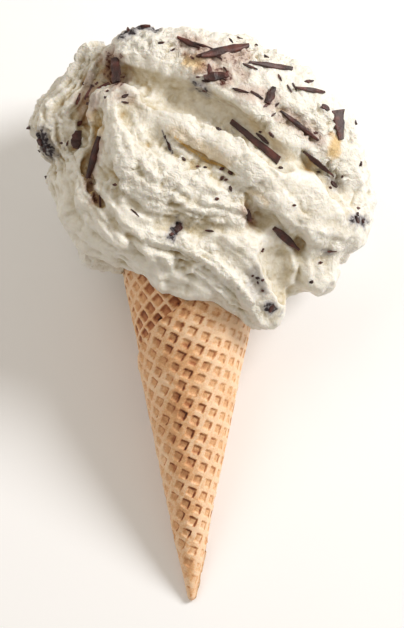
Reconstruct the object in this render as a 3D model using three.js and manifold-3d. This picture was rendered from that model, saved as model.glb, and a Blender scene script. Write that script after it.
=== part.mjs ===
// A rolled waffle cone heaped with stracciatella ice cream, lying on its back.
// Millimetres, +Z up. The cone's own frame has U to the right, V from the tip towards the ice cream and
// W to the shown side. The whole is laid back about X until the tip and the ice cream rest on Z = 0.
import * as THREE from "three";
import { mergeVertices } from "three/addons/utils/BufferGeometryUtils.js";
import Module from "manifold-3d";

const wasm = await Module();
wasm.setup();

// Driving dimensions
const LEAN_DEG = 15; // rise of the cone's axis from the table
const HALF_ANGLE_DEG = 11.2; // between the cone's axis and its side
const APEX_BELOW_TIP = 6; // how far past the blunt tip the sides would meet
const NOSE = 1.5; // length over which the tip rounds off
const SHEET_REACH = 144; // from the apex to the far edge of the flat waffle that is rolled up
const SHEET_EDGE_POWER = 0.84; // how round the flat waffle's edge is
const FRONT_DEG = 34.7; // which direction on the flat waffle ends up at the front of the outer wrap
const LAYER = 1.7; // thickness of the waffle
const SEAM_STEP = 1.2; // step of the outer wrap over the inner one
const PITCH = 5.1; // of the waffle's square ribs
const LATTICE_DEG = 10; // turn of the ribs on the flat waffle
const LATTICE_START = [3.3, 0.1]; // where one of the squares has its centre, along and across the ribs
const START_RHO = 27; // from the apex to where the ribs begin
const TIP_RHO = 6.13; // from the apex to the end of the tip's rounding
const CAVITY_END_RHO = 30;
const SLOT_END_RHO = 24;
const INNER_ROWS = 3;
const RIB_HEIGHT = 0.7;
const RIB_HALF_WIDTH = 0.85;
const GAP = 0.3; // kept between pieces that touch
const HEAD_CENTRE = [4, 163, -2];
const HEAD_RADII = [51, 45, 34.5];
const FLAKE_THICKNESS = 1.3;
const FOOT_CENTRE = [4, 145];
const FOOT_RADIUS = 11;
const FOOT_DEPTH = 2;
const FOOT_PROUD = 0.12;

const rad = THREE.MathUtils.degToRad;
const SIN = Math.sin(rad(HALF_ANGLE_DEG));
const COS = Math.cos(rad(HALF_ANGLE_DEG));
const TURN = 2 * Math.PI * SIN; // angle on the flat waffle that makes one turn of the cone
const vec = (u, v, w) => new THREE.Vector3(u, v, w);

// Solids

function solidOf(geometry) {
  const bare = geometry.clone();
  bare.deleteAttribute("normal");
  bare.deleteAttribute("uv");
  const merged = mergeVertices(bare, 1e-4);
  const all = merged.index.array;
  const kept = [];
  for (let i = 0; i < all.length; i += 3) {
    const [a, b, c] = all.slice(i, i + 3);
    if (a !== b && b !== c && a !== c) kept.push(a, b, c);
  }
  const mesh = new wasm.Mesh({
    numProp: 3,
    vertProperties: merged.attributes.position.array,
    triVerts: new Uint32Array(kept),
  });
  return new wasm.Manifold(mesh);
}

function geometryOf(solid) {
  const mesh = solid.getMesh();
  return new THREE.BufferGeometry()
    .setAttribute("position", new THREE.BufferAttribute(mesh.vertProperties, 3))
    .setIndex(new THREE.BufferAttribute(mesh.triVerts, 1));
}

function largestBody(solid) {
  return solid.decompose().reduce((a, b) => (a.volume() > b.volume() ? a : b));
}

// A closed surface from rings of points: each ring is joined to the next, and the last to the first
// if loop.
function skin(rings, loop) {
  const n = rings[0].length;
  const points = [];
  const last = loop ? rings.length : rings.length - 1;
  for (let i = 0; i < last; i++) {
    const here = rings[i];
    const next = rings[(i + 1) % rings.length];
    for (let j = 0; j < n; j++) {
      const k = (j + 1) % n;
      points.push(here[j], here[k], next[k], here[j], next[k], next[j]);
    }
  }
  if (!loop) {
    for (let j = 1; j < n - 1; j++) {
      points.push(rings[0][0], rings[0][j + 1], rings[0][j]);
      points.push(rings[last][0], rings[last][j], rings[last][j + 1]);
    }
  }
  return new THREE.BufferGeometry().setFromPoints(points);
}

// A seeded draw, so that every build is the same
function draws(seed) {
  let state = seed;
  return () => {
    state = (state * 1664525 + 1013904223) % 4294967296;
    return state / 4294967296;
  };
}

// The waffle: a flat sheet rolled up. On the flat sheet rho is the distance from the apex and psi the
// angle there. The edge of the sheet is both the cone's rim and the seam that winds down to the tip.

const edgeReach = (psi) => SHEET_REACH * Math.max(0, Math.cos(psi)) ** SHEET_EDGE_POWER;
const edgePsi = (rho) => Math.acos(Math.min(1, rho / SHEET_REACH) ** (1 / SHEET_EDGE_POWER));
const seamPsi = (rho) => Math.max(TURN / 2, edgePsi(rho));
const thetaOf = (psi) => (rad(FRONT_DEG) - psi) / SIN;

// A point on the rolled waffle: share runs from 0 at the seam to 1 one turn further in, and out is
// along the normal.
function onCone(theta, rho, share, out) {
  const along = rho * COS - APEX_BELOW_TIP;
  const step = SEAM_STEP * (0.5 - share) * Math.min(1, rho / 40);
  const nose = Math.sqrt(Math.max(0, 1 - Math.max(0, 1 - along / NOSE) ** 2));
  const r = Math.max(0, rho * SIN + (step + out) * COS) * nose;
  return vec(r * Math.sin(theta), along - out * SIN * nose, r * Math.cos(theta));
}

function onSheet(psi, rho, out) {
  return onCone(thetaOf(psi), rho, (seamPsi(rho) - psi) / TURN, out);
}

const layers = (rho) => Math.max(1, (2 * edgePsi(rho)) / TURN);
const innerRadius = (rho) => rho * SIN - LAYER * layers(rho);

function onInside(theta, rho, grow) {
  const r = innerRadius(rho) - grow;
  return vec(r * Math.sin(theta), rho * COS - APEX_BELOW_TIP, r * Math.cos(theta));
}

// The inside of the cone, ring by ring from the rim down, each ring starting at the seam
function insideRings(columns, grow) {
  const rings = [];
  for (let j = 0; j <= columns; j++) {
    const psi = TURN * (0.5 - j / columns);
    const rimRho = edgeReach(psi) + grow;
    for (let i = 0; i <= INNER_ROWS; i++) {
      const rho = rimRho + ((CAVITY_END_RHO - rimRho) * i) / INNER_ROWS;
      rings[i] = rings[i] ?? [];
      rings[i].push(onInside(thetaOf(psi), rho, grow));
    }
  }
  const bottom = vec(0, CAVITY_END_RHO * COS - APEX_BELOW_TIP - 1, 0);
  rings.push(rings[0].map(() => bottom));
  return rings;
}

// The rolled shell without its ribs and fatter all over: the slot that the ice cream leaves for it
function waffleSlot(grow) {
  const columns = 36;
  const inside = insideRings(columns, GAP);
  const sides = [];
  for (let j = 0; j <= columns; j++) {
    const psi = TURN * (0.5 - j / columns);
    const rim = onCone(thetaOf(psi), edgeReach(psi) + grow, 0, grow);
    const low = onCone(thetaOf(psi), SLOT_END_RHO, 0, grow);
    sides.push([vec(0, low.y, 0), low, rim, ...inside.map((ring) => ring[j])]);
  }
  sides.pop();
  return solidOf(skin(sides.reverse(), true));
}

// The waffle's squares, clipped to what shows of the sheet once it is rolled up. Each square is a sunken
// floor with four sloping sides that rise to the ribs.

const along = new THREE.Vector2(0, 1).rotateAround(new THREE.Vector2(), rad(LATTICE_DEG));
const across = new THREE.Vector2(1, 0).rotateAround(new THREE.Vector2(), rad(LATTICE_DEG));

function sheetPoint(x, y, height) {
  return { x, y, height, rho: Math.hypot(x, y), psi: Math.atan2(-x, y) };
}

const limits = {
  start: (p) => p.rho - START_RHO,
  edge: (p) => edgeReach(p.psi) - p.rho,
  under: (p) => (p.psi - seamPsi(p.rho) + TURN) * p.rho,
};
const shown = (p) => Math.min(limits.start(p), limits.edge(p), limits.under(p));

function borderOf(p) {
  const nearest = Object.keys(limits).reduce((a, b) => (limits[a](p) < limits[b](p) ? a : b));
  if (nearest !== "edge") return nearest;
  return p.psi > TURN / 2 ? "seam" : "rim";
}

const polar = (psi, rho) => sheetPoint(-rho * Math.sin(psi), rho * Math.cos(psi), 0);
const CORNERS = [
  { between: ["seam", "start"], at: polar(edgePsi(START_RHO), START_RHO) },
  { between: ["rim", "seam"], at: polar(TURN / 2, edgeReach(TURN / 2)) },
  { between: ["rim", "under"], at: polar(-TURN / 2, edgeReach(TURN / 2)) },
  { between: ["start", "under"], at: polar(edgePsi(START_RHO) - TURN, START_RHO) },
];

function between(a, b, t) {
  return sheetPoint(a.x + (b.x - a.x) * t, a.y + (b.y - a.y) * t, a.height + (b.height - a.height) * t);
}

// The point where the sheet stops showing, on the way from one that shows to one that doesn't
function crossing(a, b) {
  let low = 0;
  let high = 1;
  for (let i = 0; i < 40; i++) {
    const middle = (low + high) / 2;
    if (shown(between(a, b, middle)) > 0) low = middle;
    else high = middle;
  }
  const p = between(a, b, low);
  p.border = borderOf(p);
  return p;
}

function clipped(polygon) {
  const kept = [];
  polygon.forEach((a, i) => {
    const b = polygon[(i + 1) % polygon.length];
    const [first, second] = [shown(a) > 0, shown(b) > 0];
    if (first) kept.push(a);
    if (first !== second) kept.push(first ? crossing(a, b) : crossing(b, a));
    const inner = [0.2, 0.35, 0.5, 0.65, 0.8].map((t) => between(a, b, t)).find((p) => shown(p) > 0);
    if (!first && !second && inner) kept.push(crossing(inner, a), crossing(inner, b));
  });
  const result = [];
  kept.forEach((a, i) => {
    const b = kept[(i + 1) % kept.length];
    result.push(a);
    if (!a.border || !b.border || a.border === b.border) return;
    const names = [a.border, b.border].sort().join();
    const corner = CORNERS.find((c) => c.between.join() === names);
    if (corner) result.push({ ...corner.at, border: "corner" });
  });
  return result;
}

function latticePolygons() {
  const reach = Math.ceil(SHEET_REACH / PITCH);
  const half = PITCH / 2;
  const floor = half - RIB_HALF_WIDTH;
  const polygons = [];
  for (let i = -reach; i <= reach; i++) {
    for (let j = -reach; j <= reach; j++) {
      const a = i * PITCH + LATTICE_START[0];
      const b = j * PITCH + LATTICE_START[1];
      const at = (da, db, height) => {
        const x = along.x * (a + da) + across.x * (b + db);
        const y = along.y * (a + da) + across.y * (b + db);
        return sheetPoint(x, y, height);
      };
      const signs = [[-1, -1], [-1, 1], [1, 1], [1, -1]];
      const low = signs.map(([s, t]) => at(s * floor, t * floor, 0));
      const high = signs.map(([s, t]) => at(s * half, t * half, RIB_HEIGHT));
      polygons.push(low);
      low.forEach((p, k) => {
        const next = (k + 1) % 4;
        polygons.push([high[k], high[next], low[next], p]);
      });
    }
  }
  return polygons.map(clipped).filter((polygon) => polygon.length > 2);
}

function waffleCone() {
  const place = (p) => onSheet(p.psi, p.rho, p.height * Math.min(1, (p.rho - START_RHO) / 15));
  const soup = [];
  const border = { seam: [], under: [], rim: [], start: [] };
  const corners = CORNERS.map((c) => c.at);
  for (const polygon of latticePolygons()) {
    const points = polygon.map(place);
    for (let i = 1; i < points.length - 1; i++) soup.push(points[0], points[i], points[i + 1]);
    for (const p of polygon) if (border[p.border]) border[p.border].push(p);
  }
  const inOrder = (name, ends, key) => {
    const list = [...border[name], ...ends].sort((a, b) => a[key] - b[key]);
    const points = list.map((p) => ({ at: place(p), key: p[key] }));
    return points.filter((p, i) => i === 0 || p.at.distanceTo(points[i - 1].at) > 1e-4);
  };
  const seam = inOrder("seam", [corners[0], corners[1]], "rho");
  const under = inOrder("under", [corners[2], corners[3]], "rho");
  const rim = inOrder("rim", [corners[1], corners[2]], "psi").reverse();
  const start = [...border.start, corners[0], corners[3]].sort((a, b) => b.psi - a.psi);
  soup.push(...zipped(seam, under));

  const columns = 44;
  const inside = insideRings(columns, 0);
  const inner = inside[0].map((at, j) => ({ at, key: TURN * (0.5 - j / columns) }));
  const backwards = (row) => row.map((p) => ({ at: p.at, key: -p.key }));
  soup.push(...zipped(backwards(rim), backwards(inner)));
  soup.push(rim[rim.length - 1].at, rim[0].at, inner[0].at);
  soup.push(...tube(inside));

  const startPsi = edgePsi(START_RHO);
  const startShares = start.map((p) => (startPsi - p.psi) / TURN);
  const shares = startShares.filter((s, i) => i === 0 || s - startShares[i - 1] > 1e-5);
  const noseRows = 6;
  const rings = [];
  for (let i = 0; i <= noseRows; i++) {
    const rho = START_RHO + (TIP_RHO - START_RHO) * (1 - (1 - i / noseRows) ** 1.8);
    rings.push(shares.map((share) => onCone(thetaOf(edgePsi(rho)) + share * 2 * Math.PI, rho, share, 0)));
  }
  rings.push(shares.map(() => vec(0, 0, 0)));
  soup.push(...tube(rings.reverse().map((ring) => [...ring, ring[0]])));
  return solidOf(new THREE.BufferGeometry().setFromPoints(soup));
}

// Triangles between two rows of points that run side by side
function zipped(left, right) {
  const out = [];
  let i = 0;
  let j = 0;
  while (i < left.length - 1 || j < right.length - 1) {
    const leftFirst = j === right.length - 1 || (i < left.length - 1 && left[i + 1].key < right[j + 1].key);
    if (leftFirst) {
      out.push(left[i].at, left[i + 1].at, right[j].at);
      i += 1;
    } else {
      out.push(left[i].at, right[j + 1].at, right[j].at);
      j += 1;
    }
  }
  return out;
}

// Triangles between rings that have the same number of points
function tube(rings) {
  const out = [];
  for (let i = 0; i < rings.length - 1; i++) {
    for (let j = 0; j < rings[i].length - 1; j++) {
      const [a, b] = [rings[i][j], rings[i][j + 1]];
      const [c, d] = [rings[i + 1][j], rings[i + 1][j + 1]];
      out.push(a, b, d, a, d, c);
    }
  }
  return out;
}

// The ice cream: folds left by the spatula, each a soft rope of changing thickness along a curve

// Each point is U, V, W and the fold's radius there.
const FOLDS = {
  upperBand: [[-19, 202.5, 12, 13.7], [-2, 200.5, 16, 13.8], [16, 195.5, 17, 15.3], [33, 185.5, 15, 17.2],
    [45.5, 173.5, 12, 17.2], [53, 160, 7, 13.5]],
  shoulder: [[-16, 203, 20, 8], [0, 198, 24.5, 8], [12, 191.5, 26.5, 8], [24, 182, 27, 8.5],
    [35, 172, 25, 8.5]],
  topBump: [[14, 209, 12, 6], [19, 208, 10, 6.5]],
  middleBand: [[-25, 188, 26, 7], [-14, 184, 29, 7.5], [0, 176, 31, 8], [14, 169, 32, 8.5],
    [27, 160, 30, 10], [38, 151, 25, 12], [48, 145, 17, 13], [57, 142, 7, 11]],
  frontLump: [[-28, 184, 24, 9], [-25, 173, 26, 13], [-17, 159, 28, 15], [-2, 152, 29, 12.5],
    [13, 147, 26, 10]],
  leftWing: [[-35, 203, 6, 7.5], [-42, 191, 8, 9], [-50, 180, 7, 11.5], [-44, 167, 10, 10],
    [-42, 157, 13, 11]],
  leftSweep: [[-42, 157, 13, 11], [-36, 145, 17, 12.5], [-24, 137, 20, 11.3], [-9, 130.5, 22, 10.3],
    [5, 124, 22, 8.8], [16, 118, 20.5, 8], [24, 110.5, 17, 7.3]],
  leftLip: [[-36, 132, 2, 5.5], [-28, 129.5, 5, 4.6]],
  innerSweep: [[-40, 164, 22, 5], [-33, 152, 27, 9], [-25, 143, 29, 9.5], [-12, 137, 29, 9],
    [0, 132, 28, 8], [10, 125, 27, 7], [17, 117, 25, 6.5]],
  edgeRoll: [[-12, 121, 22.5, 2.6], [-6.5, 118, 24.6, 2.8], [-1, 117, 25.2, 2.9], [5, 116.8, 24.6, 2.8],
    [11, 116.5, 22.5, 2.8]],
  lowerFold: [[8, 140, 26, 9], [19, 134, 26, 9.5], [27, 124, 21, 9], [27.5, 112, 15, 8.5]],
  lowerFacet: [[28, 136, 21, 8], [36, 128, 14, 9], [38, 123, 10, 6.5]],
  rightFoot: [[40, 146, 15, 12], [44, 135, 12, 11], [46.5, 123, 9, 8]],
  rightLobe: [[59, 153, 4, 11], [56, 142.5, 3, 9.5], [50, 135, 0, 6.5]],
  backUpper: [[-27, 195, -16, 13], [-4, 191, -22, 16], [22, 183, -22, 17], [45, 168, -16, 16]],
  backMiddle: [[-42, 172, -12, 12], [-24, 158, -25, 15], [3, 149, -28, 16.5], [29, 145, -24, 15],
    [48, 139, -12, 13]],
  backLower: [[-35, 147, -8, 12], [-17, 133, -18, 12], [6, 127, -20, 12], [29, 126, -12, 11]],
};

// Where the spatula dug in: the radius is that of the groove.
const GROOVES = {
  upperValley: [[-25, 197.5, 24, 4], [-13, 192.5, 32.5, 6], [0, 187, 31, 6.5], [12, 181.5, 32, 6.5],
    [24, 173.5, 35, 6], [36, 164, 36, 4]],
  topHole: [[-28.3, 205, 19.5, 3], [-27.8, 200, 15.5, 4.2], [-26.5, 195.5, 17.5, 3.8]],
  leftSlot: [[-35.5, 183, 29, 1.9], [-36.5, 174, 28.2, 2.3], [-37.8, 166, 26, 2.4], [-36.6, 157, 30.6, 2.4],
    [-35.2, 150, 34.8, 1.5]],
  bandCrease: [[-8, 175, 36.2, 0.9], [-2, 171, 36.2, 1.1], [6, 166, 36.4, 1.1], [15, 161.5, 37.2, 0.9]],
  lumpUnderside: [[-14, 141.5, 37.8, 1.1], [-4, 140, 36.4, 1.5], [8, 139.5, 35.6, 1.3],
    [16, 140, 35.6, 0.9]],
  rightCrevice: [[29, 144, 31.4, 1.2], [34, 138, 28.6, 1.3], [40, 133, 24.2, 1.1]],
  sideCrease: [[40, 170, 29.9, 1.2], [50, 158.5, 25.6, 1.4], [60, 145, 23.6, 1.1]],
  facetHollow: [[31, 136, 34.5, 5.5], [32, 127, 28, 6], [34, 117, 21.5, 5]],
};

const FOLD_BLEND = 3.5;
const CORE_BLEND = 9;
const SAMPLES_PER_SPAN = 4;

function sampled(points) {
  const path = new THREE.CatmullRomCurve3(points.map(([u, v, w]) => vec(u, v, w)), false, "centripetal");
  const spans = points.length - 1;
  const steps = spans * SAMPLES_PER_SPAN;
  return Array.from({ length: steps + 1 }, (_, i) => {
    const t = i / steps;
    const span = Math.min(Math.floor(t * spans), spans - 1);
    const radius = THREE.MathUtils.lerp(points[span][3], points[span + 1][3], t * spans - span);
    return { at: path.getPoint(t), radius };
  });
}

const folds = Object.values(FOLDS).map(sampled);
const grooves = Object.values(GROOVES).map(sampled);

function toRope(p, rope) {
  let best = Infinity;
  for (let i = 0; i < rope.length - 1; i++) {
    const a = rope[i];
    const b = rope[i + 1];
    const ax = b.at.x - a.at.x;
    const ay = b.at.y - a.at.y;
    const az = b.at.z - a.at.z;
    const px = p.x - a.at.x;
    const py = p.y - a.at.y;
    const pz = p.z - a.at.z;
    const h = THREE.MathUtils.clamp((px * ax + py * ay + pz * az) / (ax * ax + ay * ay + az * az), 0, 1);
    const d = Math.hypot(px - h * ax, py - h * ay, pz - h * az) - (a.radius + h * (b.radius - a.radius));
    best = Math.min(best, d);
  }
  return best;
}

function blended(a, b, width) {
  const h = Math.max(width - Math.abs(a - b), 0) / width;
  return Math.min(a, b) - (h * h * width) / 4;
}

// Smooth random lumps of about the given size, from -1 to 1
function lumps(p, size) {
  const cell = [p.x / size, p.y / size, p.z / size];
  const low = cell.map(Math.floor);
  const f = cell.map((x, i) => x - low[i]);
  const s = f.map((x) => x * x * (3 - 2 * x));
  const hash = (i, j, k) => {
    const n = Math.sin(i * 127.1 + j * 311.7 + k * 74.7) * 43758.5453;
    return 2 * (n - Math.floor(n)) - 1;
  };
  let sum = 0;
  for (let c = 0; c < 8; c++) {
    const [i, j, k] = [c & 1, (c >> 1) & 1, (c >> 2) & 1];
    const weight = (i ? s[0] : 1 - s[0]) * (j ? s[1] : 1 - s[1]) * (k ? s[2] : 1 - s[2]);
    sum += weight * hash(low[0] + i, low[1] + j, low[2] + k);
  }
  return sum;
}

// Below zero inside the ice cream, in millimetres near its surface
function iceField(p) {
  const core = vec((p.x - HEAD_CENTRE[0]) / HEAD_RADII[0], (p.y - HEAD_CENTRE[1]) / HEAD_RADII[1],
    (p.z - HEAD_CENTRE[2]) / HEAD_RADII[2]);
  let field = (core.length() - 1) * Math.min(...HEAD_RADII);
  let ropes = Infinity;
  for (const rope of folds) ropes = blended(ropes, toRope(p, rope), FOLD_BLEND);
  field = blended(field, ropes, CORE_BLEND);
  for (const rope of grooves) field = -blended(-field, toRope(p, rope), 2);
  field += 0.9 * lumps(p, 7) + 0.5 * lumps(p, 3.5);
  return Math.max(field, tableSide(p) + FOOT_PROUD);
}

// Below zero above the table, which the tip's underside touches
const TABLE_UP = vec(0, Math.sin(rad(LEAN_DEG)), Math.cos(rad(LEAN_DEG)));
const TIP_UNDERSIDE = vec(0, NOSE, -((APEX_BELOW_TIP + NOSE) * SIN) / COS);
const tableSide = (p) => TIP_UNDERSIDE.dot(TABLE_UP) - TABLE_UP.dot(p);

// Where a straight line from a point meets the ice cream from outside
function meet(from, direction, reach) {
  let outside = reach;
  const at = (d) => from.clone().addScaledVector(direction, d);
  while (outside > 0 && iceField(at(outside)) > 0) outside -= 1;
  let inside = outside;
  outside += 1;
  for (let i = 0; i < 8; i++) {
    const middle = (inside + outside) / 2;
    if (iceField(at(middle)) > 0) outside = middle;
    else inside = middle;
  }
  return at(inside);
}

function iceHead() {
  const centre = vec(...HEAD_CENTRE);
  const ball = new THREE.IcosahedronGeometry(1, 13);
  const place = ball.attributes.position;
  const known = new Map();
  for (let i = 0; i < place.count; i++) {
    const direction = vec(place.getX(i), place.getY(i), place.getZ(i)).normalize();
    const key = direction.toArray().map((x) => x.toFixed(4)).join();
    if (!known.has(key)) known.set(key, meet(centre, direction, 90));
    const p = known.get(key);
    place.setXYZ(i, p.x, p.y, p.z);
  }
  return solidOf(ball);
}

// The flat that the ice cream gets where it lies on the table
function restingFoot() {
  const foot = new THREE.CylinderGeometry(FOOT_RADIUS, FOOT_RADIUS, 2 * FOOT_DEPTH, 6);
  const [u, v] = FOOT_CENTRE;
  const w = (TIP_UNDERSIDE.dot(TABLE_UP) + FOOT_DEPTH - v * TABLE_UP.y) / TABLE_UP.z;
  return solidOf(foot.rotateX(rad(90 - LEAN_DEG)).translate(u, v, w));
}

// The ice cream pressed down inside the cone
function icePlug() {
  const topRho = 128;
  const endRho = 36;
  const steps = 5;
  const profile = [new THREE.Vector2(0, endRho * COS - APEX_BELOW_TIP)];
  for (let i = 0; i <= steps; i++) {
    const rho = endRho + ((topRho - endRho) * i) / steps;
    profile.push(new THREE.Vector2(innerRadius(rho) - GAP, rho * COS - APEX_BELOW_TIP));
  }
  profile.push(new THREE.Vector2(0, topRho * COS - APEX_BELOW_TIP));
  return solidOf(new THREE.LatheGeometry(profile, 40));
}

// Chocolate shavings

// Each is U and V of one end, U and V of the other end, and the width at both ends.
const SHAVINGS = [
  [14.9, 180.3, 32.7, 165.6, 2.1, 3.4],
  [3.6, 204.5, 21.4, 208.7, 3.8, 3.4],
  [-5.1, 211.7, 3.2, 207.5, 1.9, 1.9],
  [21.4, 202.2, 37.6, 200, 1.3, 2.6],
  [4.7, 196.2, 13.8, 197.3, 3.4, 3],
  [30.8, 192.8, 28.2, 186.7, 2.5, 3.8],
  [38.7, 192.8, 49.7, 191.3, 1.5, 2.1],
  [54.4, 184.5, 55.8, 173.5, 5.7, 2.3],
  [33.1, 184.1, 47.4, 173.1, 1.9, 1.7],
  [41.8, 169, 53.1, 160.3, 2.3, 1.7],
  [-34.2, 174.6, -38.4, 159.1, 3, 2.5],
  [-42.5, 176.9, -43.3, 170.5, 4.2, 3.8],
  [-28.5, 204.1, -27.8, 194.7, 3.8, 4.2],
  [30.8, 140.6, 39.9, 132.7, 3.4, 2.3],
];

function surfaceNormal(p) {
  const d = 0.8;
  const fieldBy = (axis, step) => iceField(p.clone().addScaledVector(axis, step));
  const slope = (axis) => fieldBy(axis, d) - fieldBy(axis, -d);
  return vec(slope(vec(1, 0, 0)), slope(vec(0, 1, 0)), slope(vec(0, 0, 1))).normalize();
}

// A broken sliver of chocolate, long in X and flat in Z, with a ragged outline from the seed
function sliver(length, first, last, thickness, stations, seed) {
  const draw = draws(seed);
  const outline = [];
  const side = (i, sign) => {
    const x = length * (i / stations - 0.5);
    const fade = 0.45 + 0.55 * Math.sin(Math.PI * (0.18 + (0.64 * i) / stations));
    const width = first + ((last - first) * i) / stations;
    const shift = (draw() - 0.5) * 0.1 * length;
    return new THREE.Vector2(x + shift, sign * width * 0.5 * fade * (0.75 + 0.5 * draw()));
  };
  for (let i = 0; i <= stations; i++) outline.push(side(i, -1));
  for (let i = stations; i >= 0; i--) outline.push(side(i, 1));
  const shape = new THREE.Shape(outline);
  const slab = new THREE.ExtrudeGeometry(shape, { depth: thickness, bevelEnabled: false });
  return slab.translate(0, 0, -thickness / 2);
}

// Lays a sliver on the ice cream between two points seen from the shown side, half sunk in where the
// surface between them is highest
function laidOn([u0, v0, u1, v1, first, last], thickness, grow, seed) {
  const viewer = vec(0, 0, 1);
  const a = meet(vec(u0, v0, 0), viewer, 60);
  const b = meet(vec(u1, v1, 0), viewer, 60);
  const middle = a.clone().add(b).multiplyScalar(0.5);
  const along = b.clone().sub(a);
  const length = along.length();
  const rise = (t) => {
    const below = a.clone().lerp(b, t);
    return meet(vec(below.x, below.y, 0), viewer, 60).z - below.z;
  };
  const out = surfaceNormal(meet(vec(middle.x, middle.y, 0), viewer, 60)).addScaledVector(viewer, 0.7);
  middle.addScaledVector(viewer, Math.max(0, rise(0.25), rise(0.5), rise(0.75)));
  const x = along.clone().normalize();
  const y = new THREE.Vector3().crossVectors(out, x).normalize();
  const z = new THREE.Vector3().crossVectors(x, y);
  const size = [length, (first + last) / 2, thickness].map((side) => (side + 2 * grow) / side);
  const turn = new THREE.Matrix4().makeBasis(x, y, z).setPosition(middle);
  return solidOf(sliver(length, first, last, thickness, 3, seed).scale(...size).applyMatrix4(turn));
}

// Small flakes that are part of the ice cream's own surface, spread all round by a seeded rule
function smallFlakes() {
  const draw = draws(77);
  const centre = vec(...HEAD_CENTRE);
  const count = 16;
  const flakes = [];
  for (let i = 0; i < count; i++) {
    const height = 0.95 - (1.7 * (i + 0.5)) / count;
    const around = i * 2.39996;
    const out = Math.sqrt(1 - height ** 2);
    const direction = vec(Math.cos(around) * out, height, Math.sin(around) * out);
    const p = meet(centre, direction, 90);
    if (tableSide(p) > -4) continue;
    const size = 1.8 + 2.4 * draw();
    const flake = sliver(size * 1.6, size, size, 1.2, 1, i + 5);
    const z = surfaceNormal(p);
    const anyWay = vec(draw() - 0.5, draw() - 0.5, draw() - 0.5);
    const x = new THREE.Vector3().crossVectors(z, anyWay).normalize();
    const y = new THREE.Vector3().crossVectors(z, x);
    const turn = new THREE.Matrix4().makeBasis(x, y, z).setPosition(p);
    flakes.push(solidOf(flake.applyMatrix4(turn)));
  }
  return flakes;
}

function iceCream(shavingSlots) {
  const mass = iceHead().add(icePlug()).add(restingFoot()).subtract(waffleSlot(GAP + RIB_HEIGHT + 0.1));
  const whole = wasm.Manifold.union([mass, ...smallFlakes()]);
  return largestBody(whole.subtract(wasm.Manifold.union(shavingSlots)));
}

// Finishes and assembly

const FINISHES = {
  waffle: new THREE.MeshStandardMaterial({ color: 0xd9a46c, roughness: 0.75, metalness: 0 }),
  iceCream: new THREE.MeshStandardMaterial({ color: 0xece6d2, roughness: 0.5, metalness: 0 }),
  chocolate: new THREE.MeshStandardMaterial({ color: 0x3a211b, roughness: 0.45, metalness: 0 }),
};

function piece(name, solid, finish) {
  const mesh = new THREE.Mesh(geometryOf(solid), finish);
  mesh.name = name;
  return mesh;
}

const cone = new THREE.Group();
const slots = SHAVINGS.map((shaving, i) => laidOn(shaving, FLAKE_THICKNESS, GAP + 0.05, i + 1));
cone.add(piece("waffle_cone", waffleCone(), FINISHES.waffle));
cone.add(piece("ice_cream", iceCream(slots), FINISHES.iceCream));
SHAVINGS.forEach((shaving, i) => {
  const name = `chocolate_shaving_${String(i + 1).padStart(2, "0")}`;
  cone.add(piece(name, laidOn(shaving, FLAKE_THICKNESS, 0, i + 1), FINISHES.chocolate));
});
cone.rotation.x = rad(LEAN_DEG);

// The origin is on the table, under the middle of the whole.
const part = new THREE.Group();
part.add(cone);
part.updateMatrixWorld(true);
const extent = new THREE.Box3().setFromObject(part, true);
const middle = extent.getCenter(vec(0, 0, 0));
cone.position.set(-middle.x, -middle.y, -extent.min.z);

export default part;
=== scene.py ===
import math

import bpy
import numpy as np
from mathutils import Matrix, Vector


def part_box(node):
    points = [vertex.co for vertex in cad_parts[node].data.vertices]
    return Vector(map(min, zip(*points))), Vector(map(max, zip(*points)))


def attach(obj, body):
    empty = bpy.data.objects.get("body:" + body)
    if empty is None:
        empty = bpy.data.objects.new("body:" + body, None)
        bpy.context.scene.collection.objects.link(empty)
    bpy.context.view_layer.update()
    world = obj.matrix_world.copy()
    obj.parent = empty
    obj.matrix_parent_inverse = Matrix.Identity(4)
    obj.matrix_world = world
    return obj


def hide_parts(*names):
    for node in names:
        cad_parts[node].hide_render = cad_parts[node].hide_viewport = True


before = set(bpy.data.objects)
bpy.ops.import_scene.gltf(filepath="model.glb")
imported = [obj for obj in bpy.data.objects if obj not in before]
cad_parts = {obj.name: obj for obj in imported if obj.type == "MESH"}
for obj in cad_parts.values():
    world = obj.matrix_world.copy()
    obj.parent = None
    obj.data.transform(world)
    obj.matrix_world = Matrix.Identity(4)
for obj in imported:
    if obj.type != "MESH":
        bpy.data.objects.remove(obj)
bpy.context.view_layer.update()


# WAFFLE CONE
# A flat wafer of sugar, flour and butter, baked between two irons with square pockets and rolled up
# while hot. Its free edge is both the rim and the seam that winds down to the tip, so near the rim on
# the left the layer below shows, with thin ribs and deep dark pockets.

# Everything is measured in millimetres in the cone's own frame: U to the right, V from the tip towards
# the ice cream, W to the shown side. The whole lies on the floor with its axis raised by LEAN. On the
# flat wafer, rho is the distance from the apex and psi the angle there.
LEAN = math.radians(15)
HALF_ANGLE = math.radians(11.2)
APEX_BELOW_TIP = 6
NOSE = 1.5
SHEET_REACH = 144
SHEET_EDGE_POWER = 0.84
SHEET_FRONT = math.radians(34.7)
LAYER = 1.7
SEAM_STEP = 1.2
PITCH = 5.1
LATTICE_TURN = math.radians(10)
LATTICE_START = (3.3, 0.1)
RIBS_FROM = 19
RIBS_FADE = 12
RIB_HEIGHT = 0.7
TIP_RHO = 6.13
CAVITY_END_RHO = 30
SIN, COS = math.sin(HALF_ANGLE), math.cos(HALF_ANGLE)
TURN = 2 * math.pi * SIN

TABLE_UP = np.array([0, math.sin(LEAN), math.cos(LEAN)])
TABLE_ALONG = np.array([0, math.cos(LEAN), -math.sin(LEAN)])
TIP_UNDERSIDE = np.array([0, NOSE, -(APEX_BELOW_TIP + NOSE) * SIN / COS])
FLOOR_LEVEL = TIP_UNDERSIDE @ TABLE_UP


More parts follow.
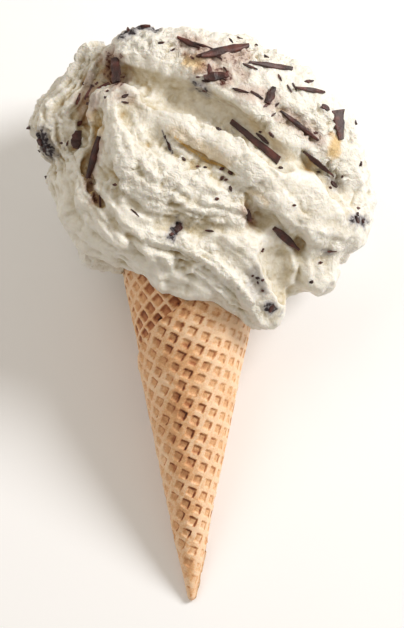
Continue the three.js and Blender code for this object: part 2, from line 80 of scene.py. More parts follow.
def edge_reach(psi):
    """How far from the apex the flat wafer's edge is, in a direction."""
    return SHEET_REACH * np.maximum(0, np.cos(psi)) ** SHEET_EDGE_POWER


def edge_psi(rho):
    """The direction in which the edge is at this distance from the apex."""
    return np.arccos(np.minimum(1, rho / SHEET_REACH) ** (1 / SHEET_EDGE_POWER))


def rolled(psi, rho, out):
    """Points of the flat wafer, by their angle and distance from the apex, once it is rolled up."""
    share = (np.maximum(TURN / 2, edge_psi(rho)) - psi) / TURN
    along = rho * COS - APEX_BELOW_TIP
    step = SEAM_STEP * (0.5 - share) * np.minimum(1, rho / 40)
    nose = np.sqrt(np.maximum(0, 1 - np.maximum(0, 1 - along / NOSE) ** 2))
    r = np.maximum(0, rho * SIN + (step + out) * COS) * nose
    theta = (SHEET_FRONT - psi) / SIN
    return np.stack([r * np.sin(theta), along - out * SIN * nose, r * np.cos(theta)], -1)


def swell(points, size, seed):
    """Smooth random hills and hollows, each about as wide as size, from -1 to 1."""
    turned = np.linalg.qr(np.random.default_rng(seed).normal(size=(3, 3)))[0]
    cell = points @ turned / size
    low = np.floor(cell).astype(np.int64)
    part = cell - low
    part = part * part * (3 - 2 * part)
    total = np.zeros(len(points))
    for corner in range(8):
        step = np.array([corner & 1, corner >> 1 & 1, corner >> 2 & 1])
        i, j, k = (low + step).T
        mixed = (i * 73856093 ^ j * 19349663 ^ k * 83492791 ^ seed * 2654435761) & 0xFFFFFFFF
        mixed = (mixed ^ mixed >> 13) * 1274126177 & 0xFFFFFFFF
        value = ((mixed ^ mixed >> 16) & 0xFFFF) / 32767.5 - 1
        total += value * np.prod(np.where(step, part, 1 - part), 1)
    return total


def ease(x, low, high):
    """0 below low, 1 above high, and a smooth rise between them."""
    t = np.clip((x - low) / (high - low), 0, 1)
    return t * t * (3 - 2 * t)


def wafer_relief(psi, rho):
    """Height of the ribs, and the crust's brown with painted shade and light, from 0 at the ribs to 1 in the
    darkest corner.
    """
    x, y = -rho * np.sin(psi), rho * np.cos(psi)
    a = -math.sin(LATTICE_TURN) * x + math.cos(LATTICE_TURN) * y - LATTICE_START[0]
    b = math.cos(LATTICE_TURN) * x + math.sin(LATTICE_TURN) * y - LATTICE_START[1]
    spot = np.stack([a, b, np.zeros_like(a)], -1)
    a = a + 0.2 * swell(spot, 7, 1) + 0.12 * swell(spot, 2.5, 16)
    b = b + 0.2 * swell(spot, 7, 2) + 0.12 * swell(spot, 2.5, 17)
    da = a - PITCH * np.round(a / PITCH)
    db = b - PITCH * np.round(b / PITCH)
    square = np.maximum(np.abs(da), np.abs(db)) + 0.25 * np.minimum(np.abs(da), np.abs(db)) ** 2 / PITCH
    share = (np.maximum(TURN / 2, edge_psi(rho)) - psi) / TURN
    under = ease(share, 0.84, 0.9) * ease(rho, 62, 72)
    theta = (SHEET_FRONT - psi) / SIN
    across, facing = np.sin(theta), np.cos(theta)
    uneven = 0.14 * swell(spot, 2.2, 3) + 0.08 * swell(spot, 0.9, 10)
    broad = ease(square + uneven, 1.15, 1.75)
    narrow = ease(square + 0.6 * uneven, 1.6, 2.3)
    height = RIB_HEIGHT * ((1 - under) * broad + under * narrow * 1.15 - 0.3 * under)
    worn = 0.6 * ease(across, 0.1, 0.9) * ease(facing, -0.1, 0.2) + 0.3 * ease(swell(spot, 9, 18), 0, 0.7)
    height *= 1 - (1 - under) * worn
    height += 0.10 * swell(spot, 4.5, 4) + 0.09 * swell(spot, 1.4, 5)
    # Painted shadow with some real browning: dark on the upper and right walls of each pocket, the walls
    # turned away from the light.
    corner = np.maximum(da, db) + 1.6 * uneven
    wall_shade_and_scorch = ease(corner, 0.85, 1.15) * (1 - ease(corner, 1.5, 1.85)) * (1 - ease(square, 1.6, 2.0))
    patchy = np.clip(0.55 + 0.7 * swell(spot, 6, 6) + 0.7 * swell(spot, 1.2, 7), 0, 1)
    # Painted shade and light: side is highest on the front a little left of the middle and low towards the lit
    # right, 0.6 at the back; it scales the browning.
    side = 0.6 + (np.exp(-((across + 0.2) / 0.5) ** 2) - 0.6) * ease(facing, -0.2, 0.2)
    brown = (1 - under) * (0.10 * (1 - broad) + patchy * (0.3 + 0.5 * side) * wall_shade_and_scorch)
    brown += (1 - under) * (1 - broad) * 0.35 * ease(swell(spot, 3, 15), 0, 0.7) * side
    # Below the seam the pockets are brown, and browner towards their upper and right walls as painted shade.
    brown += under * ((1 - narrow) * (0.42 + 0.3 * ease(corner, 0, 1.6) + 0.14 * swell(spot, 4, 8)) - 0.1)
    # Painted shadow at the foot of the seam, where the outer layer's edge overhangs the one below, in dark
    # patches; the crust also dips there.
    seam_shadow = ease(share + 0.006 * swell(spot, 1.3, 13), 0.972, 0.984) * ease(rho, 40, 60)
    seam_shadow *= ease(swell(spot, 2.6, 12), -0.15, 0.2)
    height -= 0.7 * seam_shadow
    brown = np.maximum(brown, 0.95 * seam_shadow)
    fade = ease(rho, RIBS_FROM - RIBS_FADE, RIBS_FROM + RIBS_FADE)
    # Random browning patches, scaled in part by the painted shade of side.
    baked = 0.12 * side * ease(swell(spot, 7, 19), -0.4, 0.6)
    baked += 0.16 * np.abs(swell(spot, 1.6, 20)) * (0.3 + side) + 0.05 * swell(spot, 9, 9)
    # Painted light: paler high up on the right, where the light falls.
    pale = 0.12 * ease(rho, 90, 125) * ease(across, 0, 0.5)
    return height * fade, np.clip(brown * (0.4 + 0.6 * fade) + baked - pale, 0, 1)


def to_frame(points):
    """Points in the cone's own frame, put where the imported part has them, in metres."""
    points = np.asarray(points, float)
    along = points @ TABLE_ALONG
    up = points @ TABLE_UP - FLOOR_LEVEL
    return np.stack([points[..., 0] + SHIFT_U, along + SHIFT_ALONG, up], -1) / 1000


def ring_faces(rows, columns):
    """Quads between rings of points, each ring closed on itself."""
    i, j = np.meshgrid(np.arange(rows - 1), np.arange(columns), indexing="ij")
    k = (j + 1) % columns
    return np.stack([i * columns + j, i * columns + k, (i + 1) * columns + k, (i + 1) * columns + j], -1)


def mesh_piece(name, points, faces, smooth=True):
    """A new piece of the scene, from points in the cone's own frame."""
    mesh = bpy.data.meshes.new(name)
    mesh.from_pydata(to_frame(points).tolist(), [], faces)
    mesh.validate()
    mesh.polygons.foreach_set("use_smooth", [smooth] * len(mesh.polygons))
    piece = bpy.data.objects.new(name, mesh)
    bpy.context.scene.collection.objects.link(piece)
    return piece


def paint(piece, name, values):
    """A number for each point of the mesh, which the material reads by name."""
    layer = piece.data.attributes.new(name, "FLOAT", "POINT")
    layer.data.foreach_set("value", np.asarray(values, np.float32))


# The outside from the tip to the rim, over the rim, and down the inside
columns, rows = ((420, 400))
share = np.arange(columns) / columns
psi_low = TURN * (0.5 - share)
rim_rho = edge_reach(psi_low)
rings, browns = [], []
for i in range(rows):
    t = i / (rows - 1)
    rho = TIP_RHO + (rim_rho - TIP_RHO) * (t * 0.92 + 0.08 * t * t)
    ragged = np.stack([rho, share * 0, share * 0], -1)
    torn_edge = 0.008 * swell(ragged, 3.1, 14) + 0.005 * swell(ragged, 1.3, 15)
    psi = np.maximum(TURN / 2, edge_psi(rho)) + torn_edge - share * TURN
    height, brown = wafer_relief(psi, rho)
    lip = np.exp(-share * 230) * (0.25 + 0.45 * swell(ragged, 2.4, 11))
    edge = ease(t * 240, 236, 239)
    rings.append(rolled(psi, rho, height * (1 - 0.6 * edge) + lip))
    browns.append(brown)
layers = np.maximum(1, 2 * edge_psi(rim_rho) / TURN)
theta = (SHEET_FRONT - psi_low) / SIN
for depth in (0.5, 1.0):
    r = rim_rho * SIN - LAYER * layers * depth
    rings.append(np.stack([r * np.sin(theta), rim_rho * COS - APEX_BELOW_TIP, r * np.cos(theta)], -1))
    browns.append(np.full(columns, 0.1))
for t in (0.15, 0.4, 0.7, 1.0):
    rho = rim_rho + (CAVITY_END_RHO - rim_rho) * t
    r = rho * SIN - LAYER * np.maximum(1, 2 * edge_psi(rho) / TURN)
    rings.append(np.stack([r * np.sin(theta), rho * COS - APEX_BELOW_TIP, r * np.cos(theta)], -1))
    browns.append(np.full(columns, 0.3))
waffle_points = np.concatenate(rings)
waffle_points += TABLE_UP * np.maximum(0, FLOOR_LEVEL - waffle_points @ TABLE_UP)[:, None]
waffle_faces = ring_faces(len(rings), columns).reshape(-1, 4).tolist()
waffle_faces.append(list(range(columns))[::-1])
waffle_faces.append([(len(rings) - 1) * columns + j for j in range(columns)])

cad_low, cad_high = (np.array(corner) * 1000 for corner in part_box("waffle_cone"))
SHIFT_U = (cad_low[0] + cad_high[0]) / 2 - (waffle_points[:, 0].min() + waffle_points[:, 0].max()) / 2
SHIFT_ALONG = cad_low[1] - (waffle_points @ TABLE_ALONG).min()

waffle = mesh_piece("rolled_waffle", waffle_points, waffle_faces)
paint(waffle, "brown", np.concatenate(browns))


def linear(colour):
    """An sRGB hex colour as the linear colour that the shaders take."""
    parts = [int(colour[i:i + 2], 16) / 255 for i in (1, 3, 5)]
    return [c / 12.92 if c <= 0.04045 else ((c + 0.055) / 1.055) ** 2.4 for c in parts] + [1]


def add(tree, kind, settings=None, links=None):
    """Adds a node. Settings go by attribute, by socket or, for a ramp, by its stops. Links go by socket."""
    node = tree.nodes.new(kind)
    for key, value in (settings or {}).items():
        if key == "stops":
            marks = node.color_ramp.elements
            while len(marks) < len(value):
                marks.new(0.5)
            for mark, (place, colour) in zip(marks, value):
                mark.position = place
                mark.color = linear(colour)
        elif isinstance(key, str) and hasattr(node, key):
            setattr(node, key, value)
        else:
            node.inputs[key].default_value = value
    for key, source in (links or {}).items():
        tree.links.new(source, node.inputs[key])
    return node


def finish_of(name):
    """A new material, its node tree and its shader."""
    material = bpy.data.materials.new(name)
    material.use_nodes = True
    tree = material.node_tree
    shader = tree.nodes["Principled BSDF"]
    return material, tree, shader


# Baked sugar wafer: a matt, slightly oily crust, gold on the ribs and caramel brown where the batter lay
# deepest in the iron, with painted shade on the pockets' upper and right walls, along the seam and on the
# front's left, and painted light high on the right. Its crumb of about 0.3 mm is drawn at 0.6 mm to show as a
# fine grain.
CRUMB = 0.0006
BAKED_PATCH = 0.009
crust, tree, shader = finish_of("baked_sugar_wafer")
place = add(tree, "ShaderNodeTexCoord").outputs["Object"]
browning_and_shade = add(tree, "ShaderNodeAttribute", {"attribute_name": "brown"}).outputs["Fac"]
patches = add(tree, "ShaderNodeTexNoise", {"Scale": 1 / BAKED_PATCH, "Detail": 4.0}, {"Vector": place})
grain = add(tree, "ShaderNodeTexNoise", {"Scale": 1 / CRUMB, "Detail": 3.0}, {"Vector": place}).outputs["Fac"]
bake = add(tree, "ShaderNodeMath", {"operation": "MULTIPLY_ADD", 1: 0.22, 2: -0.11},
           {0: patches.outputs["Fac"]}).outputs[0]
speck = add(tree, "ShaderNodeMath", {"operation": "MULTIPLY_ADD", 1: 0.30, 2: -0.15}, {0: grain}).outputs[0]
total = add(tree, "ShaderNodeMath", {"operation": "ADD"}, {0: browning_and_shade, 1: bake}).outputs[0]
total = add(tree, "ShaderNodeMath", {"operation": "ADD"}, {0: total, 1: speck}).outputs[0]
WAFER_COLOURS = [(0.0, "#F6D4B2"), (0.14, "#E5B383"), (0.42, "#B6764C"), (0.75, "#82472A"), (1.0, "#3A1A0E")]
colour = add(tree, "ShaderNodeValToRGB", {"stops": WAFER_COLOURS}, {0: total}).outputs[0]
bump = add(tree, "ShaderNodeBump", {"Strength": 0.5, "Distance": 0.0004}, {"Height": grain}).outputs[0]
shader.inputs["Roughness"].default_value = 0.62
shader.inputs["IOR"].default_value = 1.45
shader.inputs["Subsurface Weight"].default_value = 0.12
shader.inputs["Subsurface Scale"].default_value = 0.0015
shader.inputs["Subsurface Radius"].default_value = (1.0, 0.5, 0.25)
tree.links.new(colour, shader.inputs["Base Color"])
tree.links.new(bump, shader.inputs["Normal"])
waffle.data.materials.append(crust)
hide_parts("waffle_cone")
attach(waffle, "root")


# ICE CREAM
# Stracciatella gelato, a white cream ice, heaped on the cone with a flat spatula in overlapping folds
# and pressed down inside it. Each fold is a soft rope of changing thickness along a curve, and its skin
# is crumbly where the ice tore off the spatula, or smooth with fine streaks where the blade drew it out.

# Each point of a fold is U, V, W and the radius there. After its points come how crumbly its skin is
# and how streaked, both in millimetres of relief.
FOLDS = {
    "upper_band": ([[-19, 202.5, 12, 13.7], [-2, 200.5, 16, 13.8], [16, 195.5, 17, 15.3],
                    [33, 185.5, 15, 17.2], [45.5, 173.5, 12, 17.2], [53, 160, 7, 13.5]], 1.1, 0.3),
    "shoulder": ([[-16, 203, 20, 8], [0, 198, 24.5, 8], [12, 191.5, 26.5, 8], [24, 182, 27, 8.5],
                  [35, 172, 25, 8.5]], 0.7, 0.25),
    "top_bump": ([[14, 209, 12, 6], [19, 208, 10, 6.5]], 0.6, 0.2),
    "middle_band": ([[-25, 188, 26, 7], [-14, 184, 29, 7.5], [0, 176, 31, 8], [14, 169, 32, 8.5],
                     [27, 160, 30, 10], [38, 151, 25, 12], [48, 145, 17, 13], [57, 142, 7, 11]], 0.4, 0.3),
    "front_lump": ([[-28, 184, 24, 9], [-25, 173, 26, 13], [-17, 159, 28, 15], [-2, 152, 29, 12.5],
                    [13, 147, 26, 10]], 0.8, 1.5),
    "left_wing": ([[-35, 203, 6, 7.5], [-42, 191, 8, 9], [-50, 180, 7, 11.5], [-44, 167, 10, 10],
                   [-42, 157, 13, 11]], 0.8, 2.3),
    "left_sweep": ([[-42, 157, 13, 11], [-36, 145, 17, 12.5], [-24, 137, 20, 11.3], [-9, 130.5, 22, 10.3],
                    [5, 124, 22, 8.8], [16, 118, 20.5, 8], [24, 110.5, 17, 7.3]], 0.4, 1.5),
    "left_lip": ([[-36, 132, 2, 5.5], [-28, 129.5, 5, 4.6]], 0.5, 0.3),
    "inner_sweep": ([[-40, 164, 22, 5], [-33, 152, 27, 9], [-25, 143, 29, 9.5], [-12, 137, 29, 9],
                     [0, 132, 28, 8], [10, 125, 27, 7], [17, 117, 25, 6.5]], 0.5, 1.3),
    "edge_roll": ([[-12, 121, 22.5, 2.6], [-6.5, 118, 24.6, 2.8], [-1, 117, 25.2, 2.9], [5, 116.8, 24.6, 2.8],
                   [11, 116.5, 22.5, 2.8]], 0.15, 0.3),
    "lower_fold": ([[8, 140, 26, 9], [19, 134, 26, 9.5], [27, 124, 21, 9], [27.5, 112, 15, 8.5]], 0.25, 0.4),
    "lower_facet": ([[28, 136, 21, 8], [36, 128, 14, 9], [38, 123, 10, 6.5]], 0.2, 0.2),
    "right_foot": ([[40, 146, 15, 12], [44, 135, 12, 11], [46.5, 123, 9, 8]], 0.2, 0.3),
    "right_lobe": ([[59, 153, 4, 11], [56, 142.5, 3, 9.5], [50, 135, 0, 6.5]], 0.4, 0.2),
    "back_upper": ([[-27, 195, -16, 13], [-4, 191, -22, 16], [22, 183, -22, 17],
                    [45, 168, -16, 16]], 0.8, 0.5),
    "back_middle": ([[-42, 172, -12, 12], [-24, 158, -25, 15], [3, 149, -28, 16.5], [29, 145, -24, 15],
                     [48, 139, -12, 13]], 0.6, 0.7),
    "back_lower": ([[-35, 147, -8, 12], [-17, 133, -18, 12], [6, 127, -20, 12],
                    [29, 126, -12, 11]], 0.4, 0.7),
}

# Where the spatula dug in: the radius is that of the groove.
GROOVES = {
    "upper_valley": [[-25, 197.5, 24, 4], [-13, 192.5, 32.5, 6], [0, 187, 31, 6.5], [12, 181.5, 32, 6.5],
                     [24, 173.5, 35, 6], [36, 164, 36, 4]],
    "top_hole": [[-28.3, 205, 19.5, 3], [-27.8, 200, 15.5, 4.2], [-26.5, 195.5, 17.5, 3.8]],
    "left_slot": [[-35.5, 183, 29, 1.9], [-36.5, 174, 28.2, 2.3], [-37.8, 166, 26, 2.4],
                  [-36.6, 157, 30.6, 2.4], [-35.2, 150, 34.8, 1.5]],
    "band_crease": [[-8, 175, 36.2, 0.9], [-2, 171, 36.2, 1.1], [6, 166, 36.4, 1.1],
                    [15, 161.5, 37.2, 0.9]],
    "lump_underside": [[-14, 141.5, 37.8, 1.1], [-4, 140, 36.4, 1.5], [8, 139.5, 35.6, 1.3],
                       [16, 140, 35.6, 0.9]],
    "right_crevice": [[29, 144, 31.4, 1.2], [34, 138, 28.6, 1.3], [40, 133, 24.2, 1.1]],
    "side_crease": [[40, 170, 29.9, 1.2], [50, 158.5, 25.6, 1.4], [60, 145, 23.6, 1.1]],
    "facet_hollow": [[31, 136, 34.5, 5.5], [32, 127, 28, 6], [34, 117, 21.5, 5]],
}
HEAD_CENTRE = (4, 163, -2)
HEAD_RADII = (51, 45, 34.5)
FOLD_BLEND, CORE_BLEND, GROOVE_BLEND = 3.5, 9, 2
SAMPLES_PER_SPAN = 4
GAP = 0.3
PLUG_END_RHO = 36
PLUG_TOP = 125
FOOT_PROUD = 0.12
FAR = 50

cell = 0.72
GRID_LOW = np.array([-71.0, 27.0, -52.0])
GRID_HIGH = np.array([75.0, 224.0, 52.0])
axes = [np.arange(GRID_LOW[k], GRID_HIGH[k], cell) for k in range(3)]


def along_fold(points):
    """Closely spaced points and radii of a smooth curve through the given ones."""
    p = np.array([q[:3] for q in points], float)
    radii = [q[3] for q in points]
    p = np.concatenate([[2 * p[0] - p[1]], p, [2 * p[-1] - p[-2]]])
    out = []
    for i in range(1, len(p) - 2):
        p0, p1, p2, p3 = p[i - 1:i + 3]
        d0, d1, d2 = (np.linalg.norm(b - a) ** 0.5 for a, b in ((p0, p1), (p1, p2), (p2, p3)))
        t1 = ((p1 - p0) / d0 - (p2 - p0) / (d0 + d1) + (p2 - p1) / d1) * d1
        t2 = ((p2 - p1) / d1 - (p3 - p1) / (d1 + d2) + (p3 - p2) / d2) * d1
        for k in range(SAMPLES_PER_SPAN):
            t = k / SAMPLES_PER_SPAN
            at = p1 + t1 * t + (-3 * p1 + 3 * p2 - 2 * t1 - t2) * t * t + (2 * p1 - 2 * p2 + t1 + t2) * t ** 3
            out.append([*at, radii[i - 1] * (1 - t) + radii[i] * t])
    out.append([*p[-2], radii[-1]])
    return np.array(out)


def to_rope(rope, reach):
    """Distance of the grid's points to a rope's skin, worked out within reach of it and FAR elsewhere."""
    out = np.full([len(a) for a in axes], FAR, np.float32)
    for a, b in zip(rope[:-1], rope[1:]):
        r = max(a[3], b[3]) + reach
        low = np.minimum(a[:3], b[:3]) - r
        high = np.maximum(a[:3], b[:3]) + r
        ends = [np.searchsorted(axes[k], [low[k], high[k]]) for k in range(3)]
        near = tuple(slice(*np.clip(ends[k], 0, len(axes[k]))) for k in range(3))
        q = np.stack(np.meshgrid(*(axes[k][near[k]] - a[k] for k in range(3)), indexing="ij"), -1)
        q = q.astype(np.float32)
        ab = (b[:3] - a[:3]).astype(np.float32)
        h = np.clip(q @ ab / float(ab @ ab), 0, 1)
        d = np.sqrt(((q - h[..., None] * ab) ** 2).sum(-1)) - (a[3] + h * (b[3] - a[3]))
        out[near] = np.minimum(out[near], d)
    return out


def blended(a, b, width):
    """The nearer of two distances, with a soft change from one to the other."""
    h = np.maximum(width - np.abs(a - b), 0) / width
    return np.minimum(a, b) - h * h * width / 4


U, V, W = np.meshgrid(*(a.astype(np.float32) for a in axes), indexing="ij", sparse=True)
field = np.sqrt(sum(((x - c) / r) ** 2 for x, c, r in zip((U, V, W), HEAD_CENTRE, HEAD_RADII))) - 1
field *= min(HEAD_RADII)
ropes = {name: along_fold(points) for name, (points, *skin) in FOLDS.items()}
heap = np.full(field.shape, FAR, np.float32)
for rope in ropes.values():
    heap = blended(heap, to_rope(rope, 10), FOLD_BLEND)
field = blended(field, heap, CORE_BLEND)
for points in GROOVES.values():
    field = -blended(-field, to_rope(along_fold(points), 4), GROOVE_BLEND)

# Lumps of 7 and 3.6 mm, added only near the skin
near_skin = np.abs(field) < 4
i, j, k = np.nonzero(near_skin)
spots = np.stack([axes[0][i], axes[1][j], axes[2][k]], -1)
lumps = 0.9 * swell(spots, 7, 21) + 0.8 * swell(spots, 3.6, 22) * (0.6 + 0.6 * swell(spots, 16, 23))
field[near_skin] += lumps

# The ice cream inside the cone, the room that it leaves for the wafer, and the table below it
r = np.sqrt(U ** 2 + W ** 2)
rho = (V + APEX_BELOW_TIP) / COS
theta = np.arctan2(U, W)
psi = SHEET_FRONT - theta * SIN
psi = (psi + TURN / 2) % TURN - TURN / 2
inner = rho * SIN - LAYER * np.maximum(1, 2 * edge_psi(rho) / TURN)
step = SEAM_STEP * ((np.maximum(TURN / 2, edge_psi(rho)) - psi) / TURN % 1 - 0.5)
outer = rho * SIN - step * COS + RIB_HEIGHT
rim_v = edge_reach(psi) * COS - APEX_BELOW_TIP
plug = np.maximum(r - (inner - GAP), PLUG_END_RHO * COS - APEX_BELOW_TIP - V)
plug = np.maximum(plug, V - PLUG_TOP)
field = np.minimum(field, plug)
slot = np.maximum(np.maximum(inner - GAP - r, r - (outer + GAP)), V - (rim_v + GAP))
field = np.maximum(field, -slot)
table = FLOOR_LEVEL - (V * TABLE_UP[1] + W * TABLE_UP[2])
field = np.maximum(field, table + FOOT_PROUD).astype(np.float32)


def skin_of(field):
    """The surface where the field is zero, as points and quads, with one point to a cell of the grid."""
    inside = field < 0
    size = np.array(field.shape)
    count = np.zeros(size - 1, np.uint8)
    corners = [np.array([c & 1, c >> 1 & 1, c >> 2 & 1]) for c in range(8)]
    for a in corners:
        count += inside[a[0]:size[0] - 1 + a[0], a[1]:size[1] - 1 + a[1], a[2]:size[2] - 1 + a[2]]
    mixed = (count > 0) & (count < 8)
    cells = np.argwhere(mixed)
    index = np.full(size - 1, -1, np.int64)
    index[mixed] = np.arange(len(cells))
    total = np.zeros((len(cells), 3))
    hits = np.zeros(len(cells))
    for a in corners:
        for k in range(3):
            if a[k]:
                continue
            b = a + np.eye(3, dtype=int)[k]
            fa, fb = (field[tuple((cells + x).T)] for x in (a, b))
            cut = (fa < 0) != (fb < 0)
            t = np.where(cut, fa / np.where(cut, fa - fb, 1), 0)
            total += np.where(cut[:, None], a + t[:, None] * (b - a), 0)
            hits += cut
    points = GRID_LOW + (cells + total / hits[:, None]) * cell
    quads = []
    for k in range(3):
        m, n = (k + 1) % 3, (k + 2) % 3
        first = np.take(inside, range(size[k] - 1), k)
        second = np.take(inside, range(1, size[k]), k)
        at = np.argwhere(first != second)
        at = at[(at[:, m] > 0) & (at[:, n] > 0) & (at[:, m] < size[m] - 1) & (at[:, n] < size[n] - 1)]
        em, en = np.eye(3, dtype=int)[[m, n]]
        quad = np.stack([index[tuple((at - x).T)] for x in (em * 0, em, em + en, en)], -1)
        flip = ~inside[tuple(at.T)]
        quad[flip] = quad[flip][:, ::-1]
        quads.append(quad)
    return points, np.concatenate(quads)


def largest_part(points, quads):
    """Drops every scrap that doesn't hang together with the largest one."""
    label = np.arange(len(points))
    while True:
        low = label[quads].min(1)
        new = label.copy()
        for k in range(4):
            np.minimum.at(new, quads[:, k], low)
        new = new[new]
        if (new == label).all():
            break
        label = new
    names, counts = np.unique(label, return_counts=True)
    kept = label == names[counts.argmax()]
    number = np.cumsum(kept) - 1
    quads = number[quads[kept[quads[:, 0]]]]
    return points[kept], quads


def field_at(points):
    """The field between the grid's points."""
    place = (points - GRID_LOW) / cell
    low = np.clip(np.floor(place).astype(int), 0, np.array(field.shape) - 2)
    part = place - low
    total = np.zeros(len(points))
    for c in range(8):
        step = np.array([c & 1, c >> 1 & 1, c >> 2 & 1])
        total += field[tuple((low + step).T)] * np.prod(np.where(step, part, 1 - part), 1)
    return total


def slope_at(points, span):
    """The direction out of the ice cream."""
    steps = np.eye(3) * span
    slope = np.stack([field_at(points + s) - field_at(points - s) for s in steps], -1)
    return slope / (np.linalg.norm(slope, axis=1, keepdims=True) + 1e-9)


def pit_depth(points, quads, outward):
    """How far each point lies below the average of the skin within some 2 mm, in millimetres."""
    around = points.copy()
    ends = np.concatenate([quads, np.roll(quads, -1, 1)]).ravel()
    others = np.concatenate([np.roll(quads, -1, 1), quads]).ravel()
    count = np.bincount(ends, minlength=len(points))[:, None]
    for step in range(4):
        around = np.stack([np.bincount(ends, around[others, k], len(points)) for k in range(3)], -1) / count
    return ((around - points) * outward).sum(1)


points, quads = largest_part(*skin_of(field))
outward = slope_at(points, 1.0)

# Skin of the folds: which fold a point lies on, how far along it and how far round it
nearness, crumbly, streaky = [], [], []
for number, (name, rope) in enumerate(ropes.items()):
    skin = FOLDS[name][1:]
    best = np.full(len(points), 1e3)
    length = np.zeros(len(points))
    round_it = np.zeros(len(points))
    start = 0
    for a, b in zip(rope[:-1], rope[1:]):
        ab = b[:3] - a[:3]
        span = np.linalg.norm(ab)
        q = points - a[:3]
        h = np.clip(q @ ab / span ** 2, 0, 1)
        away = q - h[:, None] * ab
        d = np.linalg.norm(away, axis=1) - (a[3] + h * (b[3] - a[3]))
        side = np.cross([0, 0, 1], ab / span)
        side /= np.linalg.norm(side)
        up = np.cross(ab / span, side)
        closer = d < best
        best = np.where(closer, d, best)
        length = np.where(closer, start + h * span, length)
        round_it = np.where(closer, np.arctan2(away @ side, away @ up) * 10, round_it)
        start += span
    spot = np.stack([length / 9 + number * 31, round_it, np.zeros(len(points))], -1)
    fine = 0.6 * swell(spot, 2.6, 31) + 0.4 * swell(spot, 1.2, 32) + 0.5 * swell(spot, 5.5, 33)
    nearness.append(np.exp(-np.maximum(best, -8) / 1.2))
    crumbly.append(np.full(len(points), skin[0]))
    streaky.append(skin[1] * fine)
nearness = np.array(nearness) + 1e-12
nearness /= nearness.sum(0)
crumbly = (nearness * crumbly).sum(0)
streaky = (nearness * streaky).sum(0)

# The upper fold is crumbly above this line and drawn smooth by the blade below it.
SHOULDER = np.array([[-30, 205], [-12, 205], [0, 198], [10, 192], [18, 186], [27, 178], [38, 171], [52, 158]])
shoulder = np.interp(points[:, 0], SHOULDER[:, 0], SHOULDER[:, 1])
shown = ease(outward[:, 2], -0.1, 0.3)
below = ease(shoulder - points[:, 1], -1.0, 2.5) * shown
on_upper = nearness[0] + nearness[1]
crumbly *= 1 - 0.8 * below * on_upper
streaky *= 1 - 0.6 * below * on_upper
shelf = 0.9 * (1 - below) * on_upper * shown

# Crumbs of 4.6, 2.4 and 1.3 mm, and pits of 2.8 mm in places. None of it goes on down inside the cone.
bulk = 0.55 * np.abs(swell(points, 4.6, 41)) + 0.55 * np.abs(swell(points, 2.4, 42))
bulk += 0.3 * swell(points, 1.3, 43)
pits = ease(swell(points, 2.8, 44), 0.35, 0.75) * ease(swell(points, 9, 45), -0.3, 0.4)
crumbly = crumbly * (0.45 + 0.9 * ease(swell(points, 11, 46), -0.4, 0.5))
relief = crumbly * (2.0 * bulk - 0.7 - 1.2 * pits) + 1.4 * streaky + shelf
outside = ease(points[:, 1], 112, 122) + ease(np.hypot(points[:, 0], points[:, 2]), 25.5, 28)
outside = np.clip(outside, 0, 1)
relief *= outside


def to_line(points, line):
    """Distance to a line given by its U and V, as seen from the shown side."""
    best = np.full(len(points), 1e3)
    for a, b in zip(np.array(line[:-1], float), np.array(line[1:], float)):
        q = points[:, :2] - a
        h = np.clip(q @ (b - a) / ((b - a) @ (b - a)), 0, 1)
        best = np.minimum(best, np.linalg.norm(q - h[:, None] * (b - a), axis=1))
    return best


# Strokes of the spatula that stand out on the shown side: height, half width, and U and V along each
STROKES = [
    (1.3, 1.8, [(-43, 155), (-38, 142), (-26, 134), (-17, 125), (-11, 120)]),
    (-1.2, 1.2, [(-46, 139), (-39, 134.5), (-31, 130), (-26, 127)]),
    (-1.3, 1.3, [(-24, 138), (-21.5, 134), (-18.5, 128)]),
    (1.5, 1.3, [(-19.5, 139), (-15, 130), (-11.5, 123.5), (-10.8, 119)]),
    (-2.2, 3.0, [(-5.5, 130), (-4, 127), (-1, 127)]),
    (1.3, 1.0, [(-9, 129), (-7, 124.5), (-2.6, 122.8), (1.2, 125), (4.6, 126.4)]),
    (1.2, 1.4, [(-3, 137), (2.7, 130), (11, 122.5)]),
    (-1.5, 1.3, [(4.3, 126.4), (9, 122), (15.3, 114.8), (18, 109)]),
    (1.4, 1.8, [(9, 128), (15.3, 122.5), (21, 113.5)]),
    (-0.9, 1.2, [(-42, 176), (-44, 166), (-43, 158)]),
    (-1.0, 1.2, [(-50, 190), (-51, 178), (-49, 168)]),
    (0.9, 1.6, [(-47, 186), (-47.5, 172), (-45, 160)]),
    (0.9, 1.5, [(-55, 186), (-56, 176), (-53, 168)]),
    (-1.2, 1.4, [(-42, 200), (-40, 192), (-39, 186)]),
    (1.0, 1.6, [(-37, 207), (-37, 198), (-36, 190)]),
    (-1.0, 1.3, [(-22, 176), (-20, 166), (-19, 155)]),
    (-0.9, 1.3, [(-15, 172), (-12, 162), (-11, 154)]),
    (0.9, 1.8, [(-28, 178), (-27, 164), (-25, 152)]),
    (-0.9, 1.2, [(-30, 170), (-30, 160), (-28, 150)]),
    (0.8, 1.6, [(44, 140), (44.6, 132), (45, 121)]),
    (-0.9, 1.5, [(41, 137), (42, 128), (41, 121)]),
    (1.4, 2.2, [(-23, 193.5), (-19, 192.5)]),
    (-1.2, 1.5, [(39, 139), (40, 131), (40.5, 122)]),
    (0.8, 1.1, [(-6, 170), (2, 165.5), (10, 161.5)]),
    (-0.8, 1.0, [(20, 149), (22, 146), (22.5, 142.5)]),
    (0.9, 1.4, [(26, 150), (33, 146.5), (40, 139.5)]),
    (-0.8, 1.1, [(28, 163), (36, 155), (43, 146)]),
    (0.7, 1.2, [(3, 147), (8, 142.5), (15, 141)]),
]
marks = np.zeros(len(points))
for height, width, line in STROKES:
    marks += height * np.exp(-(to_line(points, line) / width) ** 2)
relief += marks * shown
points = points + outward * relief[:, None]

